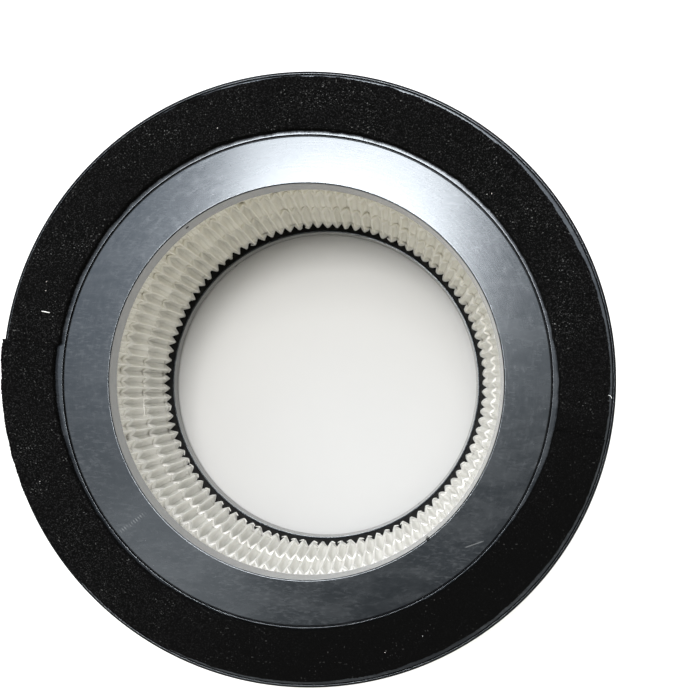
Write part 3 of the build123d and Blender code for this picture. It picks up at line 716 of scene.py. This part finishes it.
def gasket(name, cad, centre, r_out, start_right):
    cuts = 760
    across = 46
    skin_in, skin_out = 5, 5
    u = np.linspace(0, 1, cuts)
    edge_a = np.array([a for a, _ in INNER_EDGE], float)
    edge_r = np.array([r for _, r in INNER_EDGE], float)
    # mid-arc angles, then per radius the cut ends follow the seams
    gap = 0.02 if start_right else -0.02
    radii = np.linspace(72.6, 88.8, across)
    if start_right:
        a0 = np.array([seam_angle(r, gap, True) for r in radii])
        a1 = np.array([seam_angle(r, gap, False) for r in radii])
    else:
        a0 = np.array([seam_angle(r, gap, False) for r in radii])
        a1 = np.array([seam_angle(r, gap, True) for r in radii]) + TAU
    th = a0[None, :] + (a1 - a0)[None, :] * u[:, None]
    deg = np.degrees(th)
    look = np.where(deg < -20, deg + 360, deg)
    mid = look[:, across // 2]
    r_in = np.interp(mid, edge_a, edge_r)
    cx, cy = centre
    tm = th[:, across // 2]
    dx, dy = np.cos(tm), np.sin(tm)
    bq = dx * cx + dy * cy
    r_ou = bq + np.sqrt(bq ** 2 - (cx * cx + cy * cy - r_out ** 2))
    if start_right:
        dip = np.exp(-((mid - 32.0) / 11.0) ** 2)
        r_ou = r_ou - 0.55 * dip
    k = np.ones(9) / 9

    def smooth_noise(n, amount, passes=1):
        x = rng.normal(0, 1, n + 40)
        for _ in range(passes):
            x = np.convolve(x, k, "same")
        x = x[20:-20]
        return x / x.std() * amount

    wob_in = smooth_noise(cuts, 0.05) + smooth_noise(cuts, 0.05, 3)
    wob_ou = smooth_noise(cuts, 0.05) + smooth_noise(cuts, 0.06, 3)
    fine_in = rng.normal(0, 0.035, cuts)
    fine_ou = rng.normal(0, 0.045, cuts)
    s = np.linspace(0, 1, across)
    rr = (r_in + wob_in)[:, None] + (r_ou + wob_ou - r_in - wob_in)[:, None] * s[None, :]
    # open-cell relief of the top face
    cell = rng.normal(0, 1, (cuts, across))
    soft = cell.copy()
    soft[1:-1, 1:-1] = (cell[1:-1, 1:-1] * 2 + cell[:-2, 1:-1] + cell[2:, 1:-1] + cell[1:-1, :-2] + cell[1:-1, 2:]) / 4.2
    broad = np.add.outer(smooth_noise(cuts, 0.05, 2), 0.04 * np.sin(s * 5.0))
    crown = 0.10 * (1 - (2 * s - 1) ** 8)
    top = PLANE_H + 2.78 + crown[None, :] + broad + 0.085 * soft
    top = np.minimum(top, PLANE_H + 3.25)
    # the cut ends are pressed down a little where the two arcs meet
    for at_end, drop in ((0, 0.75), (1, 0.30), (2, 0.08)):
        top[at_end] -= drop
        top[-1 - at_end] -= drop
    # section, from the lower bore-side edge over the top to the lower outer edge
    zi = PLANE_H + np.array([0.01, 0.8, 1.6, 2.25, 2.62])
    ri = np.array([0.02, -0.04, -0.03, 0.0, 0.08])
    sec = []
    for q in range(skin_in):
        r = r_in + wob_in + fine_in * (q > 0) + ri[q] + rng.normal(0, 0.05, cuts) * (q > 0)
        sec.append((r, th[:, 0], np.full(cuts, zi[q])))
    for q in range(across):
        push = 0.22 * (q == 0) - 0.22 * (q == across - 1)
        sec.append((rr[:, q] + push, th[:, q], top[:, q]))
    for q in range(skin_out):
        w = skin_out - 1 - q
        r = r_ou + wob_ou + fine_ou * (w > 0) - ri[w] + rng.normal(0, 0.05, cuts) * (w > 0)
        sec.append((r, th[:, -1], np.full(cuts, zi[w])))
    n = len(sec)
    v = np.stack([np.stack([r * np.cos(a), r * np.sin(a), z], -1) for r, a, z in sec], 1)
    ends = [np.arange(n), (cuts - 1) * n + np.arange(n)[::-1]]
    o = obj_from(name, v.reshape(-1, 3), [grid_faces(cuts, n, False, True, flip=True)] + ends, FOAM, [cad])
    return o


gasket("gasket_upper", "foam_gasket_upper", (-0.25, -0.15), 88.0, True)
gasket("gasket_lower", "foam_gasket_lower", (-0.6, 1.4), 88.9, False)

# ------------------------------------------------------------ outside wraps
CARBON = (84.72, 86.68)
seam = math.radians(292.0)
round_cloth = math.radians(359.3)
n_a, n_z = 420, 40
a = seam + np.linspace(0, 1, n_a) * round_cloth
z = np.linspace(MEDIA_Z[0], MEDIA_Z[1], n_z)
nap = rng.normal(0, 0.05, (n_a, n_z))
sheet_v = []
for r, rel in ((CARBON[0], 0.0), (CARBON[1] - 0.06, 1.0)):
    rr = r + rel * nap
    sheet_v.append(np.stack([rr * np.cos(a)[:, None], rr * np.sin(a)[:, None], np.broadcast_to(z, rr.shape)], -1).reshape(-1, 3))
nv = n_a * n_z
idx = np.arange(nv).reshape(n_a, n_z)
loop = np.concatenate([idx[:, 0], idx[-1, 1:], idx[-2::-1, -1], idx[0, -2:0:-1]])
nxt = np.roll(loop, -1)
rim = np.stack([loop, nxt, nxt + nv, loop + nv], 1)
cloth = obj_from(
    "carbon_cloth", np.concatenate(sheet_v),
    [grid_faces(n_a, n_z, flip=True), grid_faces(n_a, n_z, base=nv), rim[:, ::-1]],
    FELT, ["carbon_cloth_wrap"], sharp=50,
)

# net of six-sided holes, closed with a lap
NET_R = 86.84
cells_round = 152
step = TAU * 87.1 / cells_round
row_h = step * math.sqrt(3) / 2
rows = int(88.0 / row_h)
lap_cells = 4
hole = 0.80
verts, faces = [], []
hexa = np.radians(np.arange(6) * 60 + 30)
z_first = MEDIA_Z[0] + (88.0 - (rows - 1) * row_h) / 2
count = 0


def on_net(x, zc, depth):
    """Flat net coordinates wrapped round the cartridge; the lapped end climbs over the start."""
    total = TAU * 87.1
    over = np.clip((x - total + 3.0) / 3.0, 0, 1)
    r = NET_R + depth + 0.58 * over * over * (3 - 2 * over)
    ang = math.radians(262.0) + x / 87.1
    return np.stack([r * np.cos(ang), r * np.sin(ang), np.clip(zc, *MEDIA_Z)], -1)


for i in range(rows):
    for j in range(cells_round + lap_cells):
        cx = (j + 0.5 * (i % 2) + 0.25) * step
        cz = z_first + i * row_h
        big = step / math.sqrt(3)
        ox, oz = cx + big * np.cos(hexa), cz + big * np.sin(hexa)
        ix, iz = cx + big * hole * np.cos(hexa), cz + big * hole * np.sin(hexa)
        verts += [on_net(ox, oz, 0.0), on_net(ix, iz, 0.05), on_net(ix, iz, 0.45), on_net(ox, oz, 0.5)]
        count += 1
base = (np.arange(count) * 24)[:, None]
quads = []
k = np.arange(6)
k1 = (k + 1) % 6
for lo, hi in ((0, 6), (6, 12), (12, 18)):
    q = np.stack([lo + k, lo + k1, hi + k1, hi + k], 1)
    quads.append((base[:, :, None] + q[None]).reshape(-1, 4))
net = obj_from("prefilter_net", np.concatenate(verts), [q[:, ::-1] for q in quads], NET, ["prefilter_mesh_wrap"], smooth=False)

# ------------------------------------------------------- loose threads, lint
bits_v, bits_f, at = [], [], 0


def add_bit(path, radius):
    global at
    tv, tf = tube(path, radius, 5)
    bits_v.append(tv)
    bits_f.extend([q + at for q in tf])
    at += len(tv)


def curl(p, q, sag, n=9):
    p, q, sag = np.array(p, float), np.array(q, float), np.array(sag, float)
    s = np.linspace(0, 1, n)[:, None]
    return p + (q - p) * s + sag * 4 * s * (1 - s)


def at_ring(r, turn, z):
    return (r * math.cos(turn), r * math.sin(turn), z)


# a string of glue across the folds on the left
add_bit([at_ring(r, math.radians(d), z) for d, z, r in (
    (184.6, 50.9, 59.5), (185.6, 51.4, 59.15), (187.3, 52.0, 59.2), (188.8, 52.4, 59.1), (190.4, 52.8, 59.4))], 0.16)
# drawn hooks of glue in the gaps over the compound
side, out = tip_shift(9.0)
for k in range(PLEATS):
    turn = FOLD0 + k * PITCH + side[k] / FOLD_R
    deg = math.degrees(turn) % 360
    chance = 0.9 if 200 < deg < 246 else 0.8 if 246 <= deg < 300 else 0.25 if deg >= 300 or deg < 20 else 0.12
    pick = rng.uniform(0, 1, 8)
    if pick[0] > chance:
        continue
    way = 1.0 if pick[1] < 0.75 else -1.0
    reach = PITCH * (0.30 + 0.16 * pick[2])
    r0 = 59.45 + out[k]
    z0 = 7.7 + 0.9 * pick[3]
    up = 0.7 + 1.0 * pick[4]
    add_bit([
        at_ring(r0, turn + way * 0.02 * PITCH, z0),
        at_ring(r0 + 0.15, turn + way * reach * 0.45, z0 + 0.15 * up),
        at_ring(r0 + 0.35, turn + way * reach * 0.85, z0 + 0.55 * up),
        at_ring(r0 + 0.45, turn + way * reach, z0 + 1.0 * up),
        at_ring(r0 + 0.40, turn + way * reach * 0.8, z0 + 1.25 * up),
    ], [0.20, 0.19, 0.17 + 0.05 * pick[5], 0.15, 0.09])
strings = obj_from("glue_strings", np.concatenate(bits_v), bits_f, LIP)

bits_v, bits_f, at = [], [], 0
top_z = PLANE_H + 3.2
add_bit(curl((-76.82, 21.04, top_z), (-74.33, 20.57, top_z + 0.02), (0.0, 0.05, 0.10)), [0.07, 0.13, 0.15, 0.15, 0.15, 0.15, 0.15, 0.13, 0.07])
add_bit(curl((87.1, -3.5, top_z - 0.05), (88.0, -4.3, top_z - 0.1), (0.1, 0.2, 0.1)), 0.08)
for _ in range(8):
    q, r = rng.uniform(0, TAU), rng.uniform(75, 86)
    p = np.array((r * math.cos(q), r * math.sin(q), top_z - 0.04))
    add_bit(curl(p, p + np.array((*rng.uniform(-0.4, 0.4, 2), 0.0)), (*rng.uniform(-0.1, 0.1, 2), 0.05)), 0.05)
obj_from("lint", np.concatenate(bits_v), bits_f, LINT)

# --------------------------------------------------- CAD nodes kept as they are
for n in ("bottom_potting", "top_potting"):
    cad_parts[n].data.materials.clear()
    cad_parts[n].data.materials.append(COMPOUND)
for n in ("outer_glue_bead_bottom", "outer_glue_bead_middle", "outer_glue_bead_top"):
    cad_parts[n].data.materials.clear()
    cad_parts[n].data.materials.append(GLUE)

# ---------------------------------------------------------------------- stage
me = bpy.data.meshes.new("floor")
e = 6.0
me.from_pydata([(-e, -e, 0), (e, -e, 0), (e, e, 0), (-e, e, 0)], [], [(0, 1, 2, 3)])
me.materials.append(floor_material())
floor = bpy.data.objects.new("floor", me)
bpy.context.scene.collection.objects.link(floor)
floor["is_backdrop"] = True

scene = bpy.context.scene
world = bpy.data.worlds.new("soft_room")
world.use_nodes = True
bg = world.node_tree.nodes["Background"]
# a pale room, brighter towards the window side
w_nt = world.node_tree
w_dir = node(w_nt, "ShaderNodeTexCoord").outputs["Generated"]
lean = node(w_nt, "ShaderNodeVectorMath", {0: w_dir}, operation="DOT_PRODUCT", in_1=(-0.42, 0.90, 0.12)).outputs["Value"]
room = ramp(w_nt, span(w_nt, lean, -0.15, 0.85), [(0.0, (0.66, 0.63, 0.555)), (1.0, (1.06, 1.09, 1.13))])
# the bright ceiling round the window, and the dark side over the viewer
glow = node(w_nt, "ShaderNodeVectorMath", {0: w_dir}, operation="DOT_PRODUCT", in_1=(-0.087, 0.222, 0.971)).outputs["Value"]
lit = ramp(w_nt, span(w_nt, glow, 0.89, 0.985), [(0.0, (1.0, 1.0, 1.0)), (1.0, (1.85, 2.05, 2.35))])
dim = node(w_nt, "ShaderNodeVectorMath", {0: w_dir}, operation="DOT_PRODUCT", in_1=(0.03, -0.205, 0.978)).outputs["Value"]
shade = ramp(w_nt, span(w_nt, dim, 0.955, 0.996), [(0.0, (1.0, 1.0, 1.0)), (1.0, (0.42, 0.42, 0.41))])
with_glow = node(w_nt, "ShaderNodeMixRGB", {1: room, 2: lit}, blend_type="MULTIPLY", in_0=1.0).outputs[0]
w_nt.links.new(node(w_nt, "ShaderNodeMixRGB", {1: with_glow, 2: shade}, blend_type="MULTIPLY", in_0=1.0).outputs[0], bg.inputs[0])
bg.inputs[1].default_value = 1.14
scene.world = world


def softbox(name, place, aim, width, height, watts, colour=(1.0, 1.0, 1.0)):
    d = bpy.data.lights.new(name, "AREA")
    d.shape, d.size, d.size_y = "RECTANGLE", width, height
    d.energy, d.color = watts, colour
    o = bpy.data.objects.new(name, d)
    o.location = place
    o.rotation_mode = "QUATERNION"
    o.rotation_quaternion = (Vector(aim) - Vector(place)).to_track_quat("-Z", "Y")
    scene.collection.objects.link(o)
    return o


softbox("window", (-0.03, 0.228, 1.10), (-0.03, 0.228, 0.0), 0.28, 0.30, 5.5, (1.0, 0.99, 0.98))
softbox("ceiling", (-0.06, 0.12, 1.10), (-0.06, 0.12, 0.0), 0.16, 0.16, 8.0, (1.0, 0.99, 0.975))
softbox("wall_left", (-0.27, -0.25, 1.10), (-0.27, -0.25, 0.0), 0.24, 0.22, 0.29, (0.95, 0.98, 1.0))
scene.cycles.diffuse_bounces = 10
scene.cycles.max_bounces = 16

# --------------------------------------------------------------------- camera
FOCAL_PX, LONG_PX = 1014.1, 699.0
rx, ry = math.radians(2.286), math.radians(3.036)
R = (np.array([[1, 0, 0], [0, math.cos(rx), -math.sin(rx)], [0, math.sin(rx), math.cos(rx)]])
     @ np.array([[math.cos(ry), 0, math.sin(ry)], [0, 1, 0], [-math.sin(ry), 0, math.cos(ry)]])
     @ np.diag([1.0, -1.0, -1.0]))
cam_data = bpy.data.cameras.new("camera")
cam_data.sensor_fit = "AUTO"
cam_data.sensor_width = 36.0
cam_data.lens = FOCAL_PX * 36.0 / LONG_PX
cam_data.shift_y = 0.12
cam_data.clip_start, cam_data.clip_end = 0.01, 50.0
cam = bpy.data.objects.new("camera", cam_data)
right, up, back = R[0], -R[1], -R[2]
cam.matrix_world = Matrix((
    (right[0], up[0], back[0], 25.92 * MM),
    (right[1], up[1], back[1], -2.81 * MM),
    (right[2], up[2], back[2], 392.77 * MM),
    (0.0, 0.0, 0.0, 1.0),
))
scene.collection.objects.link(cam)
scene.camera = cam
scene.view_settings.view_transform = "Standard"
scene.view_settings.look = "None"

lo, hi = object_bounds()
